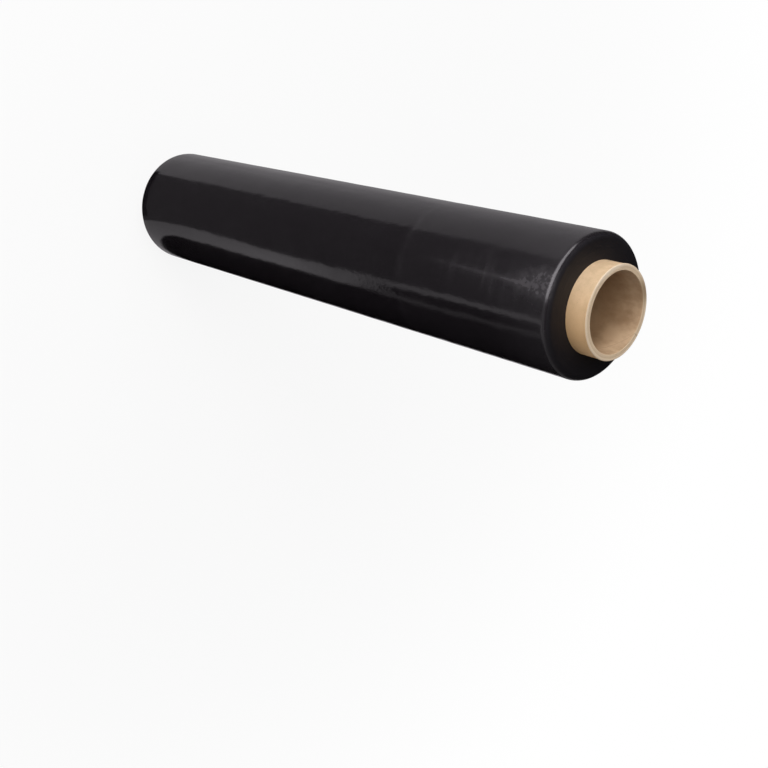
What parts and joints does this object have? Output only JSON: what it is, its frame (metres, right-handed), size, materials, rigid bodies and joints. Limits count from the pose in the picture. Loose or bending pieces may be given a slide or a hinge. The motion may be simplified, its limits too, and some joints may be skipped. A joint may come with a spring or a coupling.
{
  "type": "stretch wrap roll",
  "caption": "Roll of glossy black stretch film wound on a plain paperboard core that stands out of the film at both ends as hand grips.",
  "frame": {"origin": "centre of the lower end of the core, on the surface the roll stands on", "axes": "+Z along the roll's axis, up from the lower end to the upper end; -Y towards the side with the free edge of the film"},
  "size_m": [0.0926, 0.0926, 0.487],
  "materials": {
    "film": "glossy black polyethylene film, wound tight, with fine tension wrinkles",
    "core": "smooth kraft paperboard, paler at the cut ends"
  },
  "bodies": {
    "root": {"stretch_film": "film", "cardboard_core": "core"}
  },
  "joints": []
}
